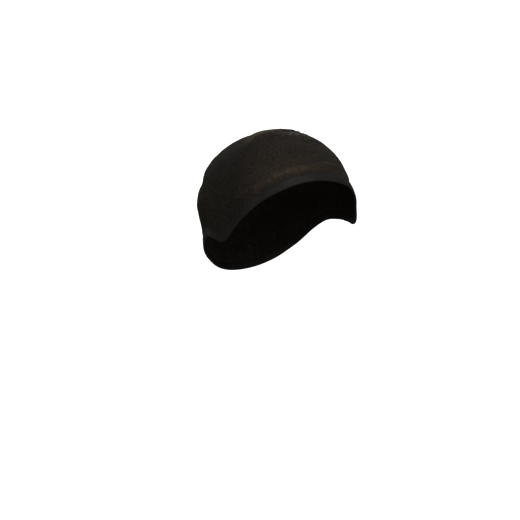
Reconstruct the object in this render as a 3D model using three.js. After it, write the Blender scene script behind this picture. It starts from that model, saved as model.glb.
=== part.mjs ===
// A stretch-knit wig cap in the form that it has when worn, hollow and open below.
// Millimetres, +Z up. The front of the cap faces -Y and the wearer's left is +X.
// The origin is the inner face of the crown, straight above the centre of the head form.
import * as THREE from "three";

// The head form, measured over the cap from its centre between the ears
const HEAD_WIDTH = 149;
const HEAD_FRONT = 98.5;
const HEAD_BACK = 102;
const CROWN_RISE = 87;
const NAPE_DROP = 118;
// The power of the form's sections: 2 is an ellipse, and more is fuller
const ROUNDNESS = 2.14;

// The knit, the doubled elastic welt round its edge and the sewn ridge on top
const KNIT_THICKNESS = 1;
const BAND_WIDTH = 9;
const BAND_THICKNESS = 2;
const BAND_EDGE_RADIUS = 0.6;
const SEAM_LENGTH = 57;
const SEAM_WIDTH = 1.8;
const SEAM_HEIGHT = 1.1;
// How far the seam lies in front of the top of the head
const SEAM_AHEAD = 18.5;
// Between pieces that are sewn or knitted to each other
const CLEARANCE = 0.3;

// Facets: round the cap (a multiple of 4), down the crown, along the seam and round its section
const STEPS_AROUND = 96;
const STEPS_DOWN = 20;
const STEPS_ALONG_SEAM = 24;
const SEAM_SIDES = 8;

// A place on the head form is a bearing (0 at the front, 90 at the wearer's left, 180 at the back)
// and a polar angle down from the top, both in degrees.

// Folds and hollows run from one place to another. The width is in degrees, the rise is a share of
// CROWN_RISE, a sharper fold has steeper flanks, and a fold on both sides is mirrored left to right.
const FOLDS = [
  { name: "roll of slack", from: [-78, 7.3], to: [80, 7], width: 10.8, rise: 0.038, sharpness: 3.2, bothSides: false },
  { name: "crease in front", from: [60, 26], to: [24, 18], width: 4, rise: -0.007, sharpness: 2, bothSides: false },
  { name: "shoulder", from: [60, 54], to: [62, 27], width: 13, rise: 0.027, sharpness: 2, bothSides: true },
  { name: "temple", from: [46, 80], to: [45, 65], width: 21, rise: -0.057, sharpness: 2, bothSides: true },
  { name: "crease at back", from: [122, 66.5], to: [180, 69.5], width: 5, rise: -0.027, sharpness: 2, bothSides: true },
  { name: "roll at back", from: [122, 82], to: [180, 87], width: 9, rise: 0.008, sharpness: 2, bothSides: true },
  { name: "behind the ear", from: [114, 89], to: [148, 104], width: 18, rise: -0.066, sharpness: 2, bothSides: true },
  { name: "nape", from: [160, 136], to: [180, 134], width: 28, rise: -0.1, sharpness: 2, bothSides: true },
];

// The edge of the cap, on each side of its own centre line
const RIM = [
  { place: "forehead", bearing: 0, polar: 61.1 },
  { place: "forehead", bearing: 12, polar: 62.2 },
  { place: "forehead", bearing: 22, polar: 64.6 },
  { place: "temple", bearing: 32, polar: 67.8 },
  { place: "temple", bearing: 41, polar: 72.6 },
  { place: "temple", bearing: 50, polar: 79 },
  { place: "temple", bearing: 60, polar: 87.9 },
  { place: "before the ear", bearing: 67, polar: 95.2 },
  { place: "before the ear", bearing: 74, polar: 98.2 },
  { place: "over the ear", bearing: 82, polar: 97.6 },
  { place: "over the ear", bearing: 94, polar: 97.2 },
  { place: "over the ear", bearing: 108, polar: 99 },
  { place: "behind the ear", bearing: 122, polar: 106 },
  { place: "behind the ear", bearing: 138, polar: 117 },
  { place: "nape", bearing: 156, polar: 125 },
  { place: "nape", bearing: 180, polar: 128 },
];
// The cap sits a little turned: the bearing of that centre line at the front, fading to nothing at the nape
const RIM_TURN = -6.8;

const UP = new THREE.Vector3(0, 0, 1);

function directionTo(bearing, polar) {
  const round = THREE.MathUtils.degToRad(bearing);
  const down = THREE.MathUtils.degToRad(polar);
  return new THREE.Vector3(
    Math.sin(down) * Math.sin(round),
    -Math.sin(down) * Math.cos(round),
    Math.cos(down),
  );
}

// How much of a fold's rise is felt in a direction, from 1 on its crest to 0 away from it
function foldShare(direction, fold, side) {
  const start = directionTo(fold.from[0] * side, fold.from[1]);
  const end = directionTo(fold.to[0] * side, fold.to[1]);
  const nearest = new THREE.Line3(start, end).closestPointToPoint(direction, true, new THREE.Vector3());
  const away = THREE.MathUtils.radToDeg(direction.angleTo(nearest));
  return Math.exp(-((away / fold.width) ** fold.sharpness));
}

function foldRise(direction) {
  let rise = 0;
  for (const fold of FOLDS) {
    const left = foldShare(direction, fold, 1);
    const right = fold.bothSides ? foldShare(direction, fold, -1) : 0;
    rise += fold.rise * CROWN_RISE * Math.max(left, right);
  }
  return rise;
}

// The point of the cap's outer face that lies in a direction from the form's centre
function formPoint(direction) {
  const across = Math.abs(direction.x) / (HEAD_WIDTH / 2);
  const along = Math.abs(direction.y) / (direction.y < 0 ? HEAD_FRONT : HEAD_BACK);
  const upright = Math.abs(direction.z) / (direction.z > 0 ? CROWN_RISE : NAPE_DROP);
  const reach = (across ** ROUNDNESS + along ** ROUNDNESS + upright ** ROUNDNESS) ** (-1 / ROUNDNESS);
  return direction.clone().multiplyScalar(reach + foldRise(direction));
}

function formNormal(direction) {
  const nudge = 0.002;
  const east = new THREE.Vector3(0, 1, 0).cross(direction);
  if (east.length() < 0.5) {
    east.crossVectors(UP, direction);
  }
  east.normalize();
  const north = new THREE.Vector3().crossVectors(direction, east);
  const slopes = [east, north].map((tangent) => {
    const ahead = formPoint(direction.clone().addScaledVector(tangent, nudge).normalize());
    const behind = formPoint(direction.clone().addScaledVector(tangent, -nudge).normalize());
    return ahead.sub(behind);
  });
  return slopes[0].cross(slopes[1]).normalize();
}

const INNER_CROWN = formPoint(UP).z - KNIT_THICKNESS;

// A point at a height over the outer face, in the part's own frame
function pointOver(direction, height) {
  const point = formPoint(direction).addScaledVector(formNormal(direction), height);
  return point.setZ(point.z - INNER_CROWN);
}

// The rim's polar angle at a bearing: a smooth curve through the rows of RIM
function rimPolar(bearing) {
  const centreLine = RIM_TURN * (0.5 + 0.5 * Math.cos(THREE.MathUtils.degToRad(bearing)));
  const turned = Math.abs(THREE.MathUtils.euclideanModulo(bearing - centreLine + 180, 360) - 180);
  const last = RIM.length - 1;
  const row = (i) => {
    if (i < 0) {
      return { bearing: -RIM[-i].bearing, polar: RIM[-i].polar };
    }
    if (i > last) {
      return { bearing: 360 - RIM[2 * last - i].bearing, polar: RIM[2 * last - i].polar };
    }
    return RIM[i];
  };
  const slope = (i) => (row(i + 1).polar - row(i - 1).polar) / (row(i + 1).bearing - row(i - 1).bearing);
  let i = 0;
  while (i < last - 1 && RIM[i + 1].bearing <= turned) {
    i += 1;
  }
  const span = RIM[i + 1].bearing - RIM[i].bearing;
  const t = (turned - RIM[i].bearing) / span;
  return (
    (2 * t ** 3 - 3 * t ** 2 + 1) * RIM[i].polar +
    (t ** 3 - 2 * t ** 2 + t) * slope(i) * span +
    (3 * t ** 2 - 2 * t ** 3) * RIM[i + 1].polar +
    (t ** 3 - t ** 2) * slope(i + 1) * span
  );
}

// The wales of the knit fan out from the closing seam to the rim. A wale leaves at an angle round the
// cap, and its share runs from 0 at the seam to 1 at the rim.
const SEAM_HALF_ANGLE = THREE.MathUtils.radToDeg(SEAM_LENGTH / 2 / CROWN_RISE);
const SEAM_AHEAD_ANGLE = THREE.MathUtils.radToDeg(SEAM_AHEAD / CROWN_RISE);

function waleDirection(around, share) {
  const angle = THREE.MathUtils.degToRad(around);
  const seamPart = 1 - share;
  const rimPart = share * rimPolar(around);
  const across = SEAM_HALF_ANGLE * Math.sin(angle) * seamPart + rimPart * Math.sin(angle);
  const ahead = SEAM_AHEAD_ANGLE * seamPart + rimPart * Math.cos(angle);
  return directionTo(THREE.MathUtils.radToDeg(Math.atan2(across, ahead)), Math.hypot(across, ahead));
}

// The share at which a wale is a given distance up from the rim, measured along it
function shareAboveRim(around, distance) {
  const stride = 0.005;
  let share = 1;
  let walked = 0;
  let here = formPoint(waleDirection(around, share));
  while (share > stride) {
    const next = formPoint(waleDirection(around, share - stride));
    const length = here.distanceTo(next);
    if (walked + length > distance) {
      return share - (stride * (distance - walked)) / length;
    }
    walked += length;
    share -= stride;
    here = next;
  }
  return share;
}

const AROUND = Array.from({ length: STEPS_AROUND }, (_, i) => (360 * i) / STEPS_AROUND);

// A closed skin over rings of points. Where the last ring doesn't meet the first one, weld says which
// columns of the two end rings are the same point.
function skin(rings, weld) {
  const positions = [];
  const numbers = new Map();
  const columns = rings[0].length;
  const vertex = (row, column) => {
    const atEnd = weld && (row === 0 || row === rings.length - 1);
    const wrapped = column % columns;
    const kept = atEnd ? weld(wrapped) : wrapped;
    const key = (row % rings.length) * columns + kept;
    if (!numbers.has(key)) {
      numbers.set(key, numbers.size);
      positions.push(...rings[row % rings.length][kept].toArray());
    }
    return numbers.get(key);
  };
  const triangles = [];
  const addTriangle = (a, b, c) => {
    if (a !== b && b !== c && c !== a) {
      triangles.push(a, b, c);
    }
  };
  const strips = weld ? rings.length - 1 : rings.length;
  for (let row = 0; row < strips; row += 1) {
    for (let column = 0; column < columns; column += 1) {
      const corners = [
        vertex(row, column),
        vertex(row + 1, column),
        vertex(row + 1, column + 1),
        vertex(row, column + 1),
      ];
      addTriangle(corners[0], corners[1], corners[2]);
      addTriangle(corners[0], corners[2], corners[3]);
    }
  }
  const geometry = new THREE.BufferGeometry();
  geometry.setAttribute("position", new THREE.Float32BufferAttribute(positions, 3));
  geometry.setIndex(triangles);
  geometry.computeVertexNormals();
  return geometry;
}

// The knitted shell: down its outer face from the seam to the band, and back up its inner face
function crownGeometry() {
  const edge = AROUND.map((around) => shareAboveRim(around, BAND_WIDTH + CLEARANCE));
  const ring = (step, height) =>
    AROUND.map((around, i) => pointOver(waleDirection(around, (edge[i] * step) / STEPS_DOWN), height));
  const steps = Array.from({ length: STEPS_DOWN + 1 }, (_, i) => i);
  const outer = steps.map((step) => ring(step, 0));
  const inner = steps.map((step) => ring(step, -KNIT_THICKNESS)).reverse();
  // The front and back halves of the tube meet along the seam
  const acrossSeam = (column) => {
    const opposite = (STEPS_AROUND + STEPS_AROUND / 2 - column) % STEPS_AROUND;
    return Math.min(column, opposite);
  };
  return skin([...outer, ...inner], acrossSeam);
}

// The welt: a flat band with rounded edges, flush with the inside of the crown
function bandGeometry() {
  const bottom = -KNIT_THICKNESS;
  const top = bottom + BAND_THICKNESS;
  const r = BAND_EDGE_RADIUS;
  const cornerCentres = [
    { along: r, height: bottom + r, turn: 180 },
    { along: BAND_WIDTH - r, height: bottom + r, turn: 270 },
    { along: BAND_WIDTH - r, height: top - r, turn: 0 },
    { along: r, height: top - r, turn: 90 },
  ];
  const section = [];
  for (const corner of cornerCentres) {
    for (const angle of [corner.turn, corner.turn + 90]) {
      const a = THREE.MathUtils.degToRad(angle);
      section.push([corner.along + r * Math.cos(a), corner.height + r * Math.sin(a)]);
    }
  }
  const rings = section.map(([along, height]) =>
    AROUND.map((around) => pointOver(waleDirection(around, shareAboveRim(around, along)), height)),
  );
  return skin(rings);
}

// The closing seam: a rounded ridge that lies along the shell and tapers at both ends
function seamGeometry() {
  const rings = [];
  for (let step = 0; step <= STEPS_ALONG_SEAM; step += 1) {
    const lengthwise = THREE.MathUtils.degToRad(-90 + (180 * step) / STEPS_ALONG_SEAM);
    const across = SEAM_HALF_ANGLE * Math.sin(lengthwise);
    const fullness = Math.min(1, 3 * Math.cos(lengthwise));
    const ring = [];
    for (let side = 0; side < SEAM_SIDES; side += 1) {
      const a = (2 * Math.PI * side) / SEAM_SIDES;
      const aside = THREE.MathUtils.radToDeg(((SEAM_WIDTH / 2) * fullness * Math.cos(a)) / CROWN_RISE);
      const height = CLEARANCE + (SEAM_HEIGHT / 2) * (1 + fullness * Math.sin(a));
      const ahead = SEAM_AHEAD_ANGLE + aside;
      const bearing = THREE.MathUtils.radToDeg(Math.atan2(across, ahead));
      ring.push(pointOver(directionTo(bearing, Math.hypot(across, ahead)), height));
    }
    rings.push(ring);
  }
  return skin(rings, () => 0);
}

function addPiece(group, name, geometry, color, roughness) {
  const material = new THREE.MeshStandardMaterial({ color, roughness, metalness: 0 });
  const piece = new THREE.Mesh(geometry, material);
  piece.name = name;
  group.add(piece);
}

const cap = new THREE.Group();
cap.name = "wig_cap";
addPiece(cap, "crown", crownGeometry(), 0x29231f, 0.85);
addPiece(cap, "edge_band", bandGeometry(), 0x1f2123, 0.7);
addPiece(cap, "closing_seam", seamGeometry(), 0x473f3b, 0.7);

export default cap;
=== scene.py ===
import math

import bpy
import numpy as np
from mathutils import Matrix, Vector


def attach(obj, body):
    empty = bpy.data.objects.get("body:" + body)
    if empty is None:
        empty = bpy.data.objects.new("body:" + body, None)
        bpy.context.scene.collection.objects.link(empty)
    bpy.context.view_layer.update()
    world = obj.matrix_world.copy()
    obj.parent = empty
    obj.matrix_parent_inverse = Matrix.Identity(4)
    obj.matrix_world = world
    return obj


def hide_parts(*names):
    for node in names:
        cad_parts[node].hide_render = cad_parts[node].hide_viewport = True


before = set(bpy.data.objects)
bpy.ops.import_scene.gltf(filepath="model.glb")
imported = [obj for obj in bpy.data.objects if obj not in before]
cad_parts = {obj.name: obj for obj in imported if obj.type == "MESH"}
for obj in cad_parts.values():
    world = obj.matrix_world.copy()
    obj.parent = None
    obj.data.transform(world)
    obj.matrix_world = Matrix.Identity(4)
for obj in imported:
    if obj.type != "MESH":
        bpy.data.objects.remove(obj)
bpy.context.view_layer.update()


# Crown. A tube of sheer dark nylon knit, sewn shut on top and stretched to a round form. Its wales fan
# out from that seam to the edge band. It is tight all over but for a low roll of slack behind the seam,
# where two layers lie loose, and a soft crease and roll at the back.
FORM_WIDTH = 0.149
FORM_FRONT = 0.0985
FORM_BACK = 0.102
CROWN_RISE = 0.087
NAPE_DROP = 0.118
ROUNDNESS = 2.14
KNIT_THICKNESS = 0.001
SEAM_LENGTH = 0.057
SEAM_AHEAD = 0.0185
BAND_WIDTH = 0.009

# A place on the form is a bearing (0 at the front, 90 at the left, 180 at the back) and a polar angle
# down from the top, in degrees. A fold runs from one place to another. Its width is in degrees, and its
# rise is a share of CROWN_RISE.
FOLDS = [
    # name, from, to, width, rise, sharpness, on both sides
    ("roll of slack", (-78, 7.3), (80, 7), 10.8, 0.038, 3.2, False),
    ("crease in front", (60, 26), (24, 18), 4, -0.007, 2, False),
    ("shoulder", (60, 54), (62, 27), 13, 0.027, 2, True),
    ("temple", (46, 80), (45, 65), 21, -0.057, 2, True),
    ("crease at back", (122, 66.5), (180, 69.5), 5, -0.027, 2, True),
    ("roll at back", (122, 82), (180, 87), 9, 0.008, 2, True),
    ("behind the ear", (114, 89), (148, 104), 18, -0.066, 2, True),
    ("nape", (160, 136), (180, 134), 28, -0.1, 2, True),
]
# Drag lines and soft dents in the cloth itself, in the same columns
DRAG_LINES = [
    ("swell over the band, front", (18, 52), (-9, 51.8), 1.9, 0.005, 2, False),
    ("swell over the band, right of that", (-9, 51.8), (-30, 53.5), 1.9, 0.007, 2, False),
    ("swell over the band, right temple", (-30, 53.5), (-46, 60), 2, 0.0055, 2, False),
    ("swell over the band, to the right ear", (-46, 60), (-66, 69), 2, 0.0035, 2, False),
    ("under it", (-44, 61), (-68, 72), 1.6, -0.004, 2, False),
    ("swell over the band, left temple", (36, 54), (64, 66), 2.2, 0.006, 2, False),
    ("second fold before the roll", (22, 25), (42, 28.6), 2, 0.011, 2, False),
    ("crease under it", (13, 28.6), (33, 31.4), 1.2, -0.006, 2, False),
    ("left end of the roll", (-70, 17), (-66, 22.5), 1.8, 0.009, 2, False),
    ("right ear to crown", (-92, 84), (-112, 52), 3.0, 0.007, 2, False),
    ("left ear to crown", (94, 86), (110, 50), 3.0, 0.006, 2, False),
    ("behind the right ear", (-104, 88), (-140, 80), 2.6, 0.007, 2, False),
    ("behind the left ear", (106, 88), (142, 78), 2.6, 0.006, 2, False),
    ("nape right", (-150, 112), (-160, 90), 3.4, 0.008, 2, False),
    ("nape left", (146, 112), (158, 88), 3.4, 0.008, 2, False),
    ("nape middle", (176, 116), (178, 94), 3.0, -0.006, 2, False),
    ("beside the roll, left", (100, 22), (124, 30), 3.2, 0.009, 2, False),
    ("beside the roll, right", (-106, 20), (-128, 30), 3.2, 0.008, 2, False),
]
# The cap's edge as bearing and polar angle, and how far round it sits turned at the front
RIM = [
    (0, 61.1), (12, 62.2), (22, 64.6), (32, 67.8), (41, 72.6), (50, 79), (60, 87.9), (67, 95.2),
    (74, 98.2), (82, 97.6), (94, 97.2), (108, 99), (122, 106), (138, 117), (156, 125), (180, 128),
]
RIM_TURN = -6.8


def toward(bearing, polar):
    """Unit vectors from the form's centre to places on it."""
    turn = np.radians(bearing)
    down = np.radians(polar)
    return np.stack([np.sin(down) * np.sin(turn), -np.sin(down) * np.cos(turn), np.cos(down)], -1)


def nearness(directions, start, end, width, sharpness, both_sides):
    """1 on the line between two places, fading to 0 past a width from it."""
    share = np.zeros(directions.shape[:-1])
    for side in (1, -1) if both_sides else (1,):
        a = toward(start[0] * side, start[1])
        b = toward(end[0] * side, end[1])
        along = np.clip((directions - a) @ (b - a) / ((b - a) @ (b - a)), 0, 1)
        nearest = a + along[..., None] * (b - a)
        nearest /= np.linalg.norm(nearest, axis=-1, keepdims=True)
        chord = np.linalg.norm(directions - nearest, axis=-1) / 2
        away = np.degrees(2 * np.arcsin(np.clip(chord, 0, 1)))
        share = np.maximum(share, np.exp(-((away / width) ** sharpness)))
    return share


def fold_heights(directions, folds):
    total = np.zeros(directions.shape[:-1])
    for _, start, end, width, rise, sharpness, both_sides in folds:
        total += rise * CROWN_RISE * nearness(directions, start, end, width, sharpness, both_sides)
    return total


def form_points(directions):
    """The cap's outer face, measured from the form's centre."""
    x, y, z = np.moveaxis(directions, -1, 0)
    across = np.abs(x) / (FORM_WIDTH / 2)
    length = np.abs(y) / np.where(y < 0, FORM_FRONT, FORM_BACK)
    upright = np.abs(z) / np.where(z > 0, CROWN_RISE, NAPE_DROP)
    reach = (across**ROUNDNESS + length**ROUNDNESS + upright**ROUNDNESS) ** (-1 / ROUNDNESS)
    return directions * (reach + fold_heights(directions, FOLDS))[..., None]


def form_normals(directions):
    """Normals of the cap's outer face, from its slopes over a small step each way."""
    nudge = 0.002
    east = np.cross([0.0, 1.0, 0.0], directions)
    level = np.cross([0.0, 0.0, 1.0], directions)
    east = np.where(np.linalg.norm(east, axis=-1, keepdims=True) < 0.5, level, east)
    east /= np.linalg.norm(east, axis=-1, keepdims=True)
    slopes = []
    for tangent in (east, np.cross(directions, east)):
        ahead = directions + nudge * tangent
        behind = directions - nudge * tangent
        ahead /= np.linalg.norm(ahead, axis=-1, keepdims=True)
        behind /= np.linalg.norm(behind, axis=-1, keepdims=True)
        slopes.append(form_points(ahead) - form_points(behind))
    normals = np.cross(*slopes)
    return normals / np.linalg.norm(normals, axis=-1, keepdims=True)


# The frame's origin is the inner face of the crown, so the form's centre lies this far below it
CENTRE_DEPTH = form_points(toward(0.0, 0.0))[2] - KNIT_THICKNESS


def over_form(directions, heights):
    """Points at these heights over the cap's outer face, in the frame."""
    points = form_points(directions) + form_normals(directions) * np.asarray(heights)[..., None]
    return points - [0, 0, CENTRE_DEPTH]


def rim_polar(bearing):
    """A smooth curve through the rows of RIM."""
    centre_line = RIM_TURN * (0.5 + 0.5 * np.cos(np.radians(bearing)))
    turned = np.abs((bearing - centre_line + 180) % 360 - 180)
    before = [(-b, p) for b, p in RIM[1:2]]
    after = [(360 - b, p) for b, p in RIM[-2:-1]]
    at, polar = np.array(before + RIM + after, float).T
    slope = np.gradient(polar, at)
    slope[1:-1] = (polar[2:] - polar[:-2]) / (at[2:] - at[:-2])
    i = np.clip(np.searchsorted(at, turned, side="right") - 1, 1, len(at) - 3)
    span = at[i + 1] - at[i]
    t = (turned - at[i]) / span
    return (
        (2 * t**3 - 3 * t**2 + 1) * polar[i]
        + (t**3 - 2 * t**2 + t) * slope[i] * span
        + (3 * t**2 - 2 * t**3) * polar[i + 1]
        + (t**3 - t**2) * slope[i + 1] * span
    )


def wale(around, share):
    """Directions along wales: share runs from 0 at the closing seam to 1 at the rim."""
    angle = np.radians(around)
    rim = rim_polar(around) * share
    seam_across = math.degrees(SEAM_LENGTH / 2 / CROWN_RISE) * np.sin(angle)
    seam_ahead = math.degrees(SEAM_AHEAD / CROWN_RISE)
    across = seam_across * (1 - share) + rim * np.sin(angle)
    ahead = seam_ahead * (1 - share) + rim * np.cos(angle)
    return toward(np.degrees(np.arctan2(across, ahead)), np.hypot(across, ahead))


def share_above_rim(around, distance):
    """Where each wale is a distance up from the rim, measured along it in small steps."""
    shares = np.linspace(1, 0.6, 240)
    line = form_points(wale(around[:, None], shares[None, :]))
    steps = np.linalg.norm(np.diff(line, axis=1), axis=-1)
    walked = np.concatenate([np.zeros((len(around), 1)), np.cumsum(steps, axis=1)], axis=1)
    return np.array([np.interp(distance, row, shares) for row in walked])


def ripple(points, length, seed):
    """A smooth, uneven field between about -1 and 1, the sum of a few sine waves."""
    waves = 7
    draw = np.random.default_rng(seed)
    field = np.zeros(points.shape[:-1])
    for _ in range(waves):
        way = draw.normal(size=3)
        way *= 2 * math.pi / (length * draw.uniform(0.7, 1.5) * np.linalg.norm(way))
        field += np.sin(points @ way + draw.uniform(0, 2 * math.pi))
    return field / (waves / 2)


def skin(name, rings, weld=None):
    """A mesh over closed rings of points. The last ring meets the first one, unless weld gives, for the
    two end rings, the column that each column is the same point as."""
    rows, columns = rings.shape[:2]
    number = np.arange(rows * columns).reshape(rows, columns)
    if weld is not None:
        number[0] = number[0][weld]
        number[-1] = number[-1][weld]
    strips = rows if weld is None else rows - 1
    upper = number[:strips]
    lower = np.roll(number, -1, axis=0)[:strips]
    faces = np.stack([upper, lower, np.roll(lower, -1, 1), np.roll(upper, -1, 1)], -1).reshape(-1, 4)
    used, faces = np.unique(faces, return_inverse=True)
    corners = [list(dict.fromkeys(face)) for face in faces.reshape(-1, 4).tolist()]
    corners = [face for face in corners if len(face) > 2]
    mesh = bpy.data.meshes.new(name)
    mesh.from_pydata(rings.reshape(-1, 3)[used].tolist(), [], corners)
    mesh.shade_smooth()
    piece = bpy.data.objects.new(name, mesh)
    bpy.context.scene.collection.objects.link(piece)
    return piece, used


def mark(piece, name, values):
    """Gives each point of a piece a number or a vector that its material reads."""
    values = np.asarray(values, np.float32)
    kind, field = ("FLOAT", "value") if values.ndim == 1 else ("FLOAT_VECTOR", "vector")
    layer = piece.data.attributes.new(name, kind, "POINT")
    layer.data.foreach_set(field, values.ravel())


WALES_DRAWN = 384
COURSES_DRAWN = 108
KNIT_SHOWN = 0.0007
BAND_OVERLAP = 0.0012
# Puckers where the seam gathers the cloth. They are shallower at its ends, and crowd and spread a
# little five times round it.
PUCKER_DEPTH = 0.00055
PUCKER_REACH = 0.0045
PUCKERS = 26
PUCKER_CROWDS = 5
PUCKER_CROWDING = 0.9
END_PUCKERS = 0.3
# The cloth's unevenness as rise, length and seed. It dies out over the last stretch to the band.
UNEVENNESS = [(0.00035, 0.034, 3), (0.00012, 0.013, 8)]
SETTLING_STRETCH = 0.012

around = np.arange(WALES_DRAWN) * 360 / WALES_DRAWN
crown_edge = share_above_rim(around, BAND_WIDTH - BAND_OVERLAP)
down = np.linspace(0, 1, COURSES_DRAWN)[:, None]
crown_ways = wale(around[None, :], down * crown_edge[None, :])
crown_base = form_points(crown_ways)
from_seam = np.concatenate(
    [np.zeros((1, WALES_DRAWN)), np.cumsum(np.linalg.norm(np.diff(crown_base, axis=0), axis=-1), axis=0)]
)
to_band = from_seam[-1] - from_seam

crowding = PUCKER_CROWDING * np.sin(np.radians(around) * PUCKER_CROWDS)
gather = np.sin(np.radians(around) * PUCKERS + crowding)
gather_depth = from_seam / PUCKER_REACH * np.exp(1 - from_seam / PUCKER_REACH)
gather_depth *= END_PUCKERS + (1 - END_PUCKERS) * np.cos(np.radians(around)) ** 2
settle = np.clip(to_band / SETTLING_STRETCH, 0, 1) ** 1.5
fine_relief = PUCKER_DEPTH * gather * gather_depth
fine_relief += fold_heights(crown_ways, DRAG_LINES) * settle
for rise, length, seed in UNEVENNESS:
    fine_relief += rise * ripple(crown_base, length, seed) * settle
fine_relief[0] = 0
outer = over_form(crown_ways, fine_relief)
inner = over_form(crown_ways, fine_relief - KNIT_SHOWN)
opposite = (WALES_DRAWN * 3 // 2 - np.arange(WALES_DRAWN)) % WALES_DRAWN
crown, crown_used = skin(
    "crown_knit",
    np.concatenate([outer, inner[::-1]]),
    np.minimum(np.arange(WALES_DRAWN), opposite),
)

# Where the knit's colour is other than plain, as share, from, to, width, sharpness and on both sides. It
# is pulled thin over the band, and painted highlights lie along the swell over the band, on the second
# fold before the roll and at the roll's end on the cap's right. Painted shade darkens it down the sides
# and in the crease under the second fold. The turned edge just before the seam carries a painted
# highlight, and the slack behind it painted light shining through it.
# Thinner knit over the forehead, and painted highlights along the swell over the band, on the second fold
# and at the roll's end on the cap's right
THIN_AND_HIGHLIGHT_PLACES = [
    (1.0, (-7, 51.8), (-30, 53.5), 1.6, 2, False),
    (0.36, (20, 52), (-7, 51.8), 1.5, 2, False),
    (0.6, (-30, 53.5), (-46, 60), 1.7, 2, False),
    (0.26, (-14, 50), (-38, 53), 5, 2, False),
    (0.28, (0, 47), (-42, 53), 10, 2, False),
    (1.3, (21, 25.4), (42, 29), 1.7, 2, False),
    (0.7, (-84, 19), (-60, 21), 5, 2, False),
]
# Painted shade down the sides, in the crease under the second fold and on the cloth below it
PAINTED_SHADE_PLACES = [
    (1.0, (-62, 82), (-84, 48), 20, 3, True),
    (1.1, (13, 28.4), (33, 31.2), 1.5, 2, False),
    (0.45, (8, 28), (24, 45), 12, 2, False),
]
# Painted highlight along the turned edge before the seam
TURNED_EDGE_HIGHLIGHT_PLACES = [(1.0, (-48, 17), (44, 20.2), 1.3, 2, False)]
# Painted light shining through the loose slack
SLACK_PAINTED_LIGHT_PLACES = [(1.0, (-78, 8), (50, 4), 10.5, 3, False)]
# The most that thin knit and painted highlight add up to
THIN_AND_HIGHLIGHT_MOST = 1.4
WIDEST_WALE = 1.4


def patches(places):
    """How much each point of the knit takes from a table of places."""
    return sum(share * nearness(crown_ways, *place) for share, *place in places)


def fade(degrees, start, length, least):
    """Rises from a least share up to 1, over a length of degrees from the start. It falls if the length
    is negative."""
    return np.clip((degrees - start) / length, least, 1)


def both_faces(field):
    """The outer face's values, then the same for the inner face, for the points that the mesh uses."""
    return np.concatenate([field, field[::-1]]).reshape(-1, *field.shape[2:])[crown_used]


leftward = np.degrees(np.arcsin(crown_ways[..., 0]))
rearward = np.degrees(np.arcsin(crown_ways[..., 1]))
fan = np.stack(
    [
        np.broadcast_to(np.cos(np.radians(around)), down.shape[:1] + around.shape),
        np.broadcast_to(np.sin(np.radians(around)), down.shape[:1] + around.shape),
        np.broadcast_to(down, down.shape[:1] + around.shape),
    ],
    -1,
)
# The turned edge's painted highlight, strong towards the cap's left and weak at its right
turned = patches(TURNED_EDGE_HIGHLIGHT_PLACES) * fade(leftward, -8, 10, 0.12)
# The slack's painted light, strongest towards the cap's right and fading towards its front and back
slack = patches(SLACK_PAINTED_LIGHT_PLACES) * fade(leftward, 12, -16, 0.25)
slack *= fade(rearward, -9, 6, 0) * fade(rearward, 27, -15, 0.3)
wale_gap = np.linalg.norm(np.roll(crown_base, -1, 1) - crown_base, axis=-1)
stretched = np.clip(wale_gap / (math.pi * FORM_WIDTH / WALES_DRAWN), 0, WIDEST_WALE) / WIDEST_WALE
mark(crown, "fan", both_faces(fan))
# Thin knit and painted highlight
mark(crown, "thin_and_highlight", both_faces(np.clip(patches(THIN_AND_HIGHLIGHT_PLACES), 0, THIN_AND_HIGHLIGHT_MOST)))
# Painted light shining through the slack
mark(crown, "slack", both_faces(slack))
# Painted shade
mark(crown, "painted_shade", both_faces(np.clip(patches(PAINTED_SHADE_PLACES), 0, 1)))
# Painted highlight on the turned edge
mark(crown, "turned", both_faces(turned))
mark(crown, "stretched", both_faces(stretched))


def feed(tree, socket, value):
    """Gives a socket a number, a colour or another node's output."""
    if isinstance(value, bpy.types.NodeSocket):
        tree.links.new(value, socket)
    else:
        socket.default_value = value


def compute(tree, operation, *values):
    node = tree.nodes.new("ShaderNodeMath")
    node.operation = operation
    for socket, value in zip(node.inputs, values):
        feed(tree, socket, value)
    return node.outputs[0]


def read(tree, name, output="Fac"):
    """What mark() gave each point."""
    node = tree.nodes.new("ShaderNodeAttribute")
    node.attribute_name = name
    return node.outputs[output]


def blend_colours(tree, share, first, second):
    node = tree.nodes.new("ShaderNodeMix")
    node.data_type = "RGBA"
    feed(tree, node.inputs["Factor"], share)
    feed(tree, node.inputs[6], first)
    feed(tree, node.inputs[7], second)
    return node.outputs[2]


def lighter_and_darker(tree, colour, share):
    """A colour times a share that varies over the surface."""
    node = tree.nodes.new("ShaderNodeVectorMath")
    node.operation = "SCALE"
    feed(tree, node.inputs[0], colour)
    feed(tree, node.inputs["Scale"], share)
    return node.outputs[0]


def object_place(tree):
    return tree.nodes.new("ShaderNodeTexCoord").outputs["Object"]


def noise(tree, vector, scale, detail):
    node = tree.nodes.new("ShaderNodeTexNoise")
    node.inputs["Scale"].default_value = scale
    node.inputs["Detail"].default_value = detail
    tree.links.new(vector, node.inputs["Vector"])
    return node.outputs["Fac"]


def remap(tree, value, low, high, to_low=0.0, to_high=1.0):
    node = tree.nodes.new("ShaderNodeMapRange")
    tree.links.new(value, node.inputs["Value"])
    node.inputs["From Min"].default_value = low
    node.inputs["From Max"].default_value = high
    node.inputs["To Min"].default_value = to_low
    node.inputs["To Max"].default_value = to_high
    return node.outputs["Result"]


def varied(tree, field, least=0.0, most=1.0):
    """A noise field's usual range, spread over the range wanted."""
    return remap(tree, field, 0.3, 0.7, least, most)


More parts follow.
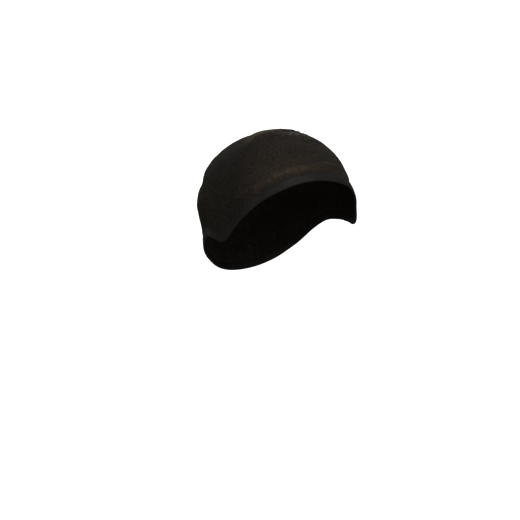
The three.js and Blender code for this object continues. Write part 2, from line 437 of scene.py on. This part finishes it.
def bumped(tree, height, distance, strength, below=None):
    node = tree.nodes.new("ShaderNodeBump")
    node.inputs["Distance"].default_value = distance
    node.inputs["Strength"].default_value = strength
    tree.links.new(height, node.inputs["Height"])
    if below is not None:
        tree.links.new(below, node.inputs["Normal"])
    return node.outputs["Normal"]


def stitches(tree, wales, courses):
    """The height of plain knit, 0 to 1: a column of V-shaped stitches for each wale."""
    slant_across_wale = 0.45
    yarn_share = 0.45
    parts = tree.nodes.new("ShaderNodeSeparateXYZ")
    tree.links.new(read(tree, "fan", "Vector"), parts.inputs["Vector"])
    turn = compute(tree, "ARCTAN2", parts.outputs["Y"], parts.outputs["X"])
    column = compute(tree, "FRACT", compute(tree, "MULTIPLY", turn, wales / (2 * math.pi)))
    side = compute(tree, "ABSOLUTE", compute(tree, "SUBTRACT", column, 0.5))
    side = compute(tree, "MULTIPLY", side, 2.0)
    slant = compute(tree, "MULTIPLY", side, slant_across_wale)
    phase = compute(tree, "MULTIPLY_ADD", parts.outputs["Z"], courses, slant)
    wave = compute(tree, "SINE", compute(tree, "MULTIPLY", phase, 2 * math.pi))
    rib = compute(tree, "SUBTRACT", 1.0, compute(tree, "POWER", side, 2.0))
    yarn = compute(tree, "MULTIPLY_ADD", wave, 0.5, 0.5)
    yarn = compute(tree, "MULTIPLY_ADD", yarn, yarn_share, 1 - yarn_share)
    return compute(tree, "MULTIPLY", rib, yarn)


def start_material(name, roughness, specular):
    material = bpy.data.materials.new(name)
    material.use_nodes = True
    tree = material.node_tree
    shader = tree.nodes["Principled BSDF"]
    shader.inputs["Roughness"].default_value = roughness
    shader.inputs["Specular IOR Level"].default_value = specular
    return material, tree, shader


def tinted(tree, colour, share, strength, tint):
    """A colour taken part of the way to a tint."""
    return blend_colours(tree, compute(tree, "MULTIPLY", share, strength), colour, tint)


def drawn_out(tree, scale):
    """Noise drawn out along the wales or along the courses."""
    node = tree.nodes.new("ShaderNodeMapping")
    node.inputs["Scale"].default_value = scale
    tree.links.new(read(tree, "fan", "Vector"), node.inputs["Vector"])
    return noise(tree, node.outputs["Vector"], 1.0, 4)


KNIT_WALES = 384
KNIT_COURSES = 170
KNIT_YARN = (0.0218, 0.0168, 0.0132, 1)
KNIT_GAP = (0.0100, 0.0079, 0.0064, 1)
KNIT_DENSE = (0.0165, 0.0135, 0.0108, 1)
# Painted shade
KNIT_PAINTED_SHADE = (0.0113, 0.0103, 0.0088, 1)
# Thin knit, lighter, with painted highlight
KNIT_THIN_AND_HIGHLIGHT = (0.040, 0.0295, 0.0195, 1)
# Painted light shining through the slack
KNIT_SLACK_PAINTED_LIGHT = (0.090, 0.068, 0.031, 1)
# Painted highlight on the turned edge
KNIT_TURNED_EDGE_HIGHLIGHT = (0.078, 0.062, 0.053, 1)
# How far the colour goes to each tint: painted shade, thin knit with painted highlight, painted light
# through the slack, and the turned edge's painted highlight
PAINTED_SHADE_STRENGTH = 0.75
THIN_AND_HIGHLIGHT_STRENGTH = 0.62
SLACK_PAINTED_LIGHT_STRENGTH = 0.8
TURNED_EDGE_HIGHLIGHT_STRENGTH = 0.85
# How fine the knit's unevenness is across, round and down the cap
ALONG_WALES = (34, 34, 1.4)
ALONG_COURSES = (1.3, 1.3, 46)
MOTTLE_FINENESS = 30
FLECK_FINENESS = 400

sheer_knit, tree, shader = start_material("sheer_knit", roughness=0.8, specular=0.05)
shader.inputs["Specular Tint"].default_value = (1, 0.86, 0.66, 1)
height = stitches(tree, KNIT_WALES, KNIT_COURSES)
streaks = drawn_out(tree, ALONG_WALES)
bars = drawn_out(tree, ALONG_COURSES)
place = object_place(tree)
mottle = noise(tree, place, MOTTLE_FINENESS, 4)
flecks = noise(tree, place, FLECK_FINENESS, 3)

yarn = blend_colours(tree, remap(tree, read(tree, "stretched"), 0.1, 0.6), KNIT_DENSE, KNIT_YARN)
# Painted shade down the sides and in the crease under the second fold
yarn = tinted(tree, yarn, read(tree, "painted_shade"), PAINTED_SHADE_STRENGTH, KNIT_PAINTED_SHADE)
colour = blend_colours(tree, remap(tree, height, 0.1, 0.75), KNIT_GAP, yarn)
# Thin knit and painted highlight, broken up by the mottle
thin_and_highlight = compute(tree, "MULTIPLY", read(tree, "thin_and_highlight"), varied(tree, mottle, 0.7, 1.0))
colour = tinted(tree, colour, thin_and_highlight, THIN_AND_HIGHLIGHT_STRENGTH, KNIT_THIN_AND_HIGHLIGHT)
# Painted light shining through the slack, streaked along the wales
slack_painted_light = compute(tree, "MULTIPLY", read(tree, "slack"), varied(tree, streaks, 0.6, 1.0))
colour = tinted(tree, colour, slack_painted_light, SLACK_PAINTED_LIGHT_STRENGTH, KNIT_SLACK_PAINTED_LIGHT)
# Painted highlight along the turned edge
colour = tinted(tree, colour, read(tree, "turned"), TURNED_EDGE_HIGHLIGHT_STRENGTH, KNIT_TURNED_EDGE_HIGHLIGHT)
shade = compute(tree, "MULTIPLY", varied(tree, streaks, 0.88, 1.12), varied(tree, bars, 0.9, 1.1))
shade = compute(tree, "MULTIPLY", shade, varied(tree, flecks, 0.68, 1.32))
shade = compute(tree, "MULTIPLY", shade, varied(tree, mottle, 0.92, 1.08))
tree.links.new(lighter_and_darker(tree, colour, shade), shader.inputs["Base Color"])
tree.links.new(varied(tree, streaks, 0.72, 0.88), shader.inputs["Roughness"])
soft = bumped(tree, compute(tree, "ADD", streaks, bars), 0.0005, 0.35)
tree.links.new(bumped(tree, height, 0.00032, 0.7, soft), shader.inputs["Normal"])
crown.data.materials.append(sheer_knit)

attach(crown, "root")
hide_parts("crown")


# Edge band. The tube's open end, folded back on itself and knitted down with an elastic yarn: a flat,
# dense welt with a soft rolled lower edge, fine upright ribs and a row of linking stitches along its
# top, where the sheer knit begins.
BAND_THICKNESS = 0.002
BAND_RIBS = 336
BAND_COURSES = 11
POINTS_PER_RIB = 4
SECTION_POINTS = 20
# The section is a rounded oblong, a little thinner at its top than at its rolled lower edge
END_SQUARENESS = 0.45
FACE_SQUARENESS = 0.6
TOP_THINNESS = 0.14
# Ribs, and the band's own soft wave. Both are weaker on the band's inner face, by these shares.
RIB_RISE = 0.00009
INNER_RIBS = 0.3
BAND_WAVE = 0.00022
WAVE_LENGTH = 0.045
WAVE_SEED = 21
INNER_WAVE = 0.2

band_around = np.arange(BAND_RIBS * POINTS_PER_RIB) * 360 / (BAND_RIBS * POINTS_PER_RIB)
section_turn = np.arange(SECTION_POINTS) * 2 * math.pi / SECTION_POINTS


def squared(wave, power):
    """A rounded wave pressed towards a flat-topped one."""
    return np.sign(wave) * np.abs(wave) ** power


section_up = BAND_WIDTH / 2 * (1 + squared(np.cos(section_turn), END_SQUARENESS))
section_out = BAND_THICKNESS / 2 * squared(np.sin(section_turn), FACE_SQUARENESS)
towards_rim = 1 - section_up / BAND_WIDTH
section_out *= 1 - TOP_THINNESS + TOP_THINNESS * towards_rim
section_out += BAND_THICKNESS / 2 - KNIT_THICKNESS
on_face = np.clip(section_out / (BAND_THICKNESS - KNIT_THICKNESS), 0, 1)[:, None]
band_ways = wale(band_around[None, :], share_above_rim(band_around, section_up).T)
rib_wave = np.cos(np.radians(band_around) * BAND_RIBS)
band_sway = BAND_WAVE * ripple(form_points(wale(band_around, 1.0)), WAVE_LENGTH, WAVE_SEED)
lift = section_out[:, None] + RIB_RISE * (rib_wave * (INNER_RIBS + (1 - INNER_RIBS) * on_face) - 1)
lift += band_sway * (INNER_WAVE + (1 - INNER_WAVE) * on_face)
lift = np.minimum(lift, BAND_THICKNESS - KNIT_THICKNESS)
band, band_used = skin("edge_band_welt", over_form(band_ways, lift))
band_fan = np.stack(
    [
        np.broadcast_to(np.cos(np.radians(band_around)), lift.shape),
        np.broadcast_to(np.sin(np.radians(band_around)), lift.shape),
        np.broadcast_to((section_up / BAND_WIDTH)[:, None], lift.shape),
    ],
    -1,
)
mark(band, "fan", band_fan.reshape(-1, 3)[band_used])


def thread(path, normal, radius, sides=6):
    """The points and faces of a closed tube along a short path. It narrows at each end."""
    end_size = 0.35
    path = np.asarray(path)
    points = []
    for i, centre in enumerate(path):
        way = path[min(i + 1, len(path) - 1)] - path[max(i - 1, 0)]
        aside = np.cross(normal, way)
        aside /= np.linalg.norm(aside)
        raised = np.cross(way, aside)
        raised /= np.linalg.norm(raised)
        size = radius * (end_size if i in (0, len(path) - 1) else 1)
        for k in range(sides):
            angle = 2 * math.pi * k / sides
            points.append(centre + size * (math.cos(angle) * aside + math.sin(angle) * raised))
    faces = []
    for i in range(len(path) - 1):
        for k in range(sides):
            j = (k + 1) % sides
            faces.append((i * sides + k, i * sides + j, (i + 1) * sides + j, (i + 1) * sides + k))
    faces.append(tuple(reversed(range(sides))))
    faces.append(tuple((len(path) - 1) * sides + k for k in range(sides)))
    return points, faces


def thread_mesh(name, threads):
    points, faces = [], []
    for own_points, own_faces in threads:
        faces += [tuple(len(points) + k for k in face) for face in own_faces]
        points += own_points
    mesh = bpy.data.meshes.new(name)
    mesh.from_pydata([tuple(p) for p in points], [], faces)
    mesh.shade_smooth()
    piece = bpy.data.objects.new(name, mesh)
    bpy.context.scene.collection.objects.link(piece)
    return piece


# Linking stitches. Each one's path goes as shares of the stitch spacing round the band, and as metres
# up from the band's top and out from the cloth.
LINK_STITCHES = 420
LINK_RADIUS = 0.00017
LINK_LEAN = (0.0, 0.16, 0.36, 0.56, 0.72)
LINK_UP = (-0.0009, -0.0006, 0.0001, 0.0008, 0.0011)
LINK_HEIGHT = (0.0006, 0.0008, 0.00055, 0.00018, -0.0001)
starts = np.arange(LINK_STITCHES) * 360 / LINK_STITCHES
link_ways = []
for lean, up in zip(LINK_LEAN, LINK_UP):
    turns = starts + lean * 360 / LINK_STITCHES
    link_ways.append(wale(turns, share_above_rim(turns, np.array([BAND_WIDTH + up]))[:, 0]))
link_ways = np.stack(link_ways, 1)
link_paths = over_form(link_ways, np.broadcast_to(LINK_HEIGHT, link_ways.shape[:2]))
link_normals = form_normals(link_ways[:, 2])
link_threads = [thread(path, out, LINK_RADIUS) for path, out in zip(link_paths, link_normals)]
links = thread_mesh("band_linking_stitches", link_threads)

WELT = (0.0162, 0.0143, 0.0117, 1)
WELT_GAP = (0.0058, 0.0056, 0.0054, 1)
elastic_welt, tree, shader = start_material("elastic_welt", roughness=0.34, specular=0.07)
height = stitches(tree, BAND_RIBS, BAND_COURSES)
wear = noise(tree, object_place(tree), 60, 4)
colour = blend_colours(tree, remap(tree, height, 0.05, 0.7), WELT_GAP, WELT)
colour = lighter_and_darker(tree, colour, varied(tree, wear, 0.82, 1.2))
tree.links.new(colour, shader.inputs["Base Color"])
tree.links.new(varied(tree, wear, 0.27, 0.34), shader.inputs["Roughness"])
tree.links.new(bumped(tree, height, 0.0003, 0.8), shader.inputs["Normal"])
band.data.materials.append(elastic_welt)

LINK_YARN = (0.0150, 0.0142, 0.0130, 1)
LINK_YARN_DARK = (0.0075, 0.0070, 0.0064, 1)
linking_yarn, tree, shader = start_material("linking_yarn", roughness=0.6, specular=0.12)
twist = noise(tree, object_place(tree), 900, 2)
colour = blend_colours(tree, varied(tree, twist), LINK_YARN_DARK, LINK_YARN)
tree.links.new(colour, shader.inputs["Base Color"])
tree.links.new(bumped(tree, twist, 0.00008, 0.5), shader.inputs["Normal"])
links.data.materials.append(linking_yarn)

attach(band, "root")
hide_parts("edge_band")
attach(links, "root")


# Closing seam. The tube's top edges, turned together and oversewn: a low ridge of cloth with a slanting
# thread over it at every 0.8 mm. It lies side to side, at the front foot of the slack.
SEAM_WIDTH = 0.0018
SEAM_HEIGHT = 0.0011
SEAM_STEPS = 96
SEAM_SIDES = 12
# The ridge under the threads. Half its width is this share of the seam's width, and so with its height.
RIDGE_SHARE = 0.42
RIDGE_LET_IN = 0.0001
RIDGE_LUMPS = 70
LUMP_RISE = 0.06
END_FULLNESS = 3
# The threads over it: how far each may start off its place, its slant as a share of the spacing, its
# reach to each side as a share of the seam's width, and how high it arches from its feet
OVERSEWING = 68
SEAM_THREAD_RADIUS = 0.00017
THREAD_JITTER = 0.16
THREAD_SLANT = (0.75, 1.15)
THREAD_REACH = (0.56, 0.66)
THREAD_ARCH = (0.82, 0.9)
THREAD_FEET = 0.06
THREAD_POINTS = 9


def on_seam(along, aside, height):
    """A point beside the seam: along runs from -1 to 1, aside is in metres towards the front."""
    across = math.degrees(SEAM_LENGTH / 2 / CROWN_RISE) * along
    ahead = np.degrees((SEAM_AHEAD + aside) / CROWN_RISE)
    ways = toward(np.degrees(np.arctan2(across, ahead)), np.hypot(across, ahead))
    return over_form(ways, height), form_normals(ways)


seam_rings = []
for along in np.sin(np.linspace(-math.pi / 2, math.pi / 2, SEAM_STEPS)):
    fullness = min(1.0, END_FULLNESS * math.sqrt(max(0.0, 1 - along**2)))
    turn = np.arange(SEAM_SIDES) * 2 * math.pi / SEAM_SIDES
    lumpy = 1 + LUMP_RISE * math.sin(along * RIDGE_LUMPS)
    aside = SEAM_WIDTH * RIDGE_SHARE * fullness * np.cos(turn)
    height = SEAM_HEIGHT * RIDGE_SHARE * (1 + fullness * lumpy * np.sin(turn)) - RIDGE_LET_IN
    seam_rings.append(on_seam(np.full(SEAM_SIDES, along), aside, height)[0])
seam, _ = skin("closing_seam_ridge", np.array(seam_rings), np.zeros(SEAM_SIDES, int))

draw = np.random.default_rng(5)
oversewing = []
for i in range(OVERSEWING):
    t = np.linspace(0, 1, THREAD_POINTS)
    begin = i + 0.5 + draw.uniform(-THREAD_JITTER, THREAD_JITTER)
    along = (begin + draw.uniform(*THREAD_SLANT) * t) / (OVERSEWING + 1) * 2 - 1
    aside = SEAM_WIDTH * draw.uniform(*THREAD_REACH) * np.cos(math.pi * t)
    height = SEAM_HEIGHT * (THREAD_FEET + draw.uniform(*THREAD_ARCH) * np.sin(math.pi * t) ** 0.8)
    path, normals = on_seam(along, aside, height)
    oversewing.append(thread(path, normals[THREAD_POINTS // 2], SEAM_THREAD_RADIUS))
overstitch = thread_mesh("closing_seam_oversewing", oversewing)

SEAM_CLOTH = (0.029, 0.0235, 0.0205, 1)
SEAM_THREAD = (0.066, 0.052, 0.047, 1)
# Painted shade at the seam's right end, rising to a painted highlight at its left end: from and to along
# X, and the shares of its colour there
SEAM_PAINTED_LIGHT_FROM = -0.014
SEAM_PAINTED_LIGHT_TO = 0.006
SEAM_PAINTED_LIGHT_SHARES = (0.34, 1.25)
for piece, name, tint in ((seam, "seam_cloth", SEAM_CLOTH), (overstitch, "seam_thread", SEAM_THREAD)):
    material, tree, shader = start_material(name, roughness=0.75, specular=0.12)
    shader.inputs["Sheen Weight"].default_value = 0.08
    shader.inputs["Sheen Roughness"].default_value = 0.4
    shader.inputs["Sheen Tint"].default_value = (0.9, 0.8, 0.75, 1)
    place = object_place(tree)
    twist = noise(tree, place, 1400, 2)
    across = tree.nodes.new("ShaderNodeSeparateXYZ")
    tree.links.new(place, across.inputs["Vector"])
    # Painted shade at the seam's right end, rising to a painted highlight at its left end
    seam_painted_light = remap(tree, across.outputs["X"], SEAM_PAINTED_LIGHT_FROM, SEAM_PAINTED_LIGHT_TO, *SEAM_PAINTED_LIGHT_SHARES)
    shade = compute(tree, "MULTIPLY", seam_painted_light, varied(tree, twist, 0.75, 1.25))
    tree.links.new(lighter_and_darker(tree, tint[:3], shade), shader.inputs["Base Color"])
    tree.links.new(bumped(tree, twist, 0.0001, 0.6), shader.inputs["Normal"])
    piece.data.materials.append(material)
    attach(piece, "root")
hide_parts("closing_seam")


# Camera. It stands 30 degrees round to the cap's right and a little above it, and is tilted, so that the
# cap lies in the frame where the photograph has it.
AZIMUTH = -30
ELEVATION = 9
ROLL = 3
DISTANCE = 1.3
FRAME_PIXELS = 520
METRES_PER_PIXEL = 0.001
CENTRE_PIXEL = (278, 219.5)


def way_to(azimuth, elevation):
    """The direction in which something stands, seen from the cap."""
    turn = math.radians(azimuth)
    rise = math.radians(elevation)
    return Vector((math.sin(turn) * math.cos(rise), -math.cos(turn) * math.cos(rise), math.sin(rise)))


back = way_to(AZIMUTH, ELEVATION)
roll = math.radians(ROLL)
level = Vector((math.cos(math.radians(AZIMUTH)), math.sin(math.radians(AZIMUTH)), 0))
upright = back.cross(level)
right = math.cos(roll) * level - math.sin(roll) * upright
above = math.sin(roll) * level + math.cos(roll) * upright
form_centre = Vector((0, 0, -CENTRE_DEPTH))
middle = FRAME_PIXELS / 2
aim = form_centre - (CENTRE_PIXEL[0] - middle) * METRES_PER_PIXEL * right
aim += (CENTRE_PIXEL[1] - middle) * METRES_PER_PIXEL * above
eye = form_centre + back * DISTANCE
away = (eye - aim).normalized()
side = above.cross(away).normalized()
camera_data = bpy.data.cameras.new("camera")
camera_data.sensor_width = 36
camera_data.lens = camera_data.sensor_width * (eye - aim).length / (FRAME_PIXELS * METRES_PER_PIXEL)
camera = bpy.data.objects.new("camera", camera_data)
facing = Matrix((side, away.cross(side), away)).transposed().to_4x4()
camera.matrix_world = Matrix.Translation(eye) @ facing
bpy.context.scene.collection.objects.link(camera)
bpy.context.scene.camera = camera


# Studio. A pale floor that sweeps up into a pale wall all round, well below and away from the cap. The
# light is a broad key from the front, a small lamp by the camera, weak light from above, behind and
# below, and an even white sky.
FLOOR_DROP = 0.62
FLOOR_RADIUS = 2.6
SWEEP_RADIUS = 1.2
WALL_TOP = 2.4
SWEEP_STEPS = 16
FLOOR_SIDES = 96
profile = [(0.001, 0.0), (FLOOR_RADIUS * 0.5, 0.0)]
for i in range(SWEEP_STEPS + 1):
    bend = math.pi / 2 * i / SWEEP_STEPS
    profile.append((FLOOR_RADIUS + SWEEP_RADIUS * math.sin(bend), SWEEP_RADIUS * (1 - math.cos(bend))))
profile.append((FLOOR_RADIUS + SWEEP_RADIUS, WALL_TOP))
sweep = np.arange(FLOOR_SIDES) * 2 * math.pi / FLOOR_SIDES
sweep_rings = [[(r * math.sin(a), r * math.cos(a), z - FLOOR_DROP) for a in sweep] for r, z in profile]
floor, _ = skin("studio_floor", np.array(sweep_rings), np.arange(FLOOR_SIDES))
studio_white = bpy.data.materials.new("studio_white")
studio_white.use_nodes = True
shader = studio_white.node_tree.nodes["Principled BSDF"]
shader.inputs["Base Color"].default_value = (0.9, 0.9, 0.9, 1)
shader.inputs["Roughness"].default_value = 0.95
shader.inputs["Specular IOR Level"].default_value = 0.0
shader.inputs["Emission Color"].default_value = (1, 1, 1, 1)
shader.inputs["Emission Strength"].default_value = 0.46
floor.data.materials.append(studio_white)
floor.visible_diffuse = False
floor.visible_glossy = False

SUNS = [
    # name, azimuth, elevation, strength, width in degrees, colour
    ("key", -6, 36, 2.2, 50, (1, 0.99, 0.97)),
    ("small lamp by the camera", -42, 41, 1.1, 7, (0.84, 0.95, 1)),
    ("overhead", 0, 88, 0.4, 140, (1, 1, 1)),
    ("back", 150, 24, 0.8, 50, (1, 1, 1)),
    ("floor bounce, left", -50, -25, 0.25, 100, (1, 1, 1)),
    ("floor bounce, right", 40, -50, 0.88, 90, (1, 1, 1)),
]
for name, azimuth, elevation, strength, width, colour in SUNS:
    light = bpy.data.lights.new(name, "SUN")
    light.energy = strength
    light.color = colour
    light.angle = math.radians(width)
    lamp = bpy.data.objects.new(name, light)
    lamp.rotation_mode = "QUATERNION"
    lamp.rotation_quaternion = way_to(azimuth, elevation).to_track_quat("Z", "Y")
    bpy.context.scene.collection.objects.link(lamp)

sky = bpy.data.worlds.new("studio_sky")
sky.use_nodes = True
background = sky.node_tree.nodes["Background"]
background.inputs["Color"].default_value = (1, 1, 1, 1)
background.inputs["Strength"].default_value = 0.145
bpy.context.scene.world = sky
bpy.context.scene.view_settings.view_transform = "Standard"
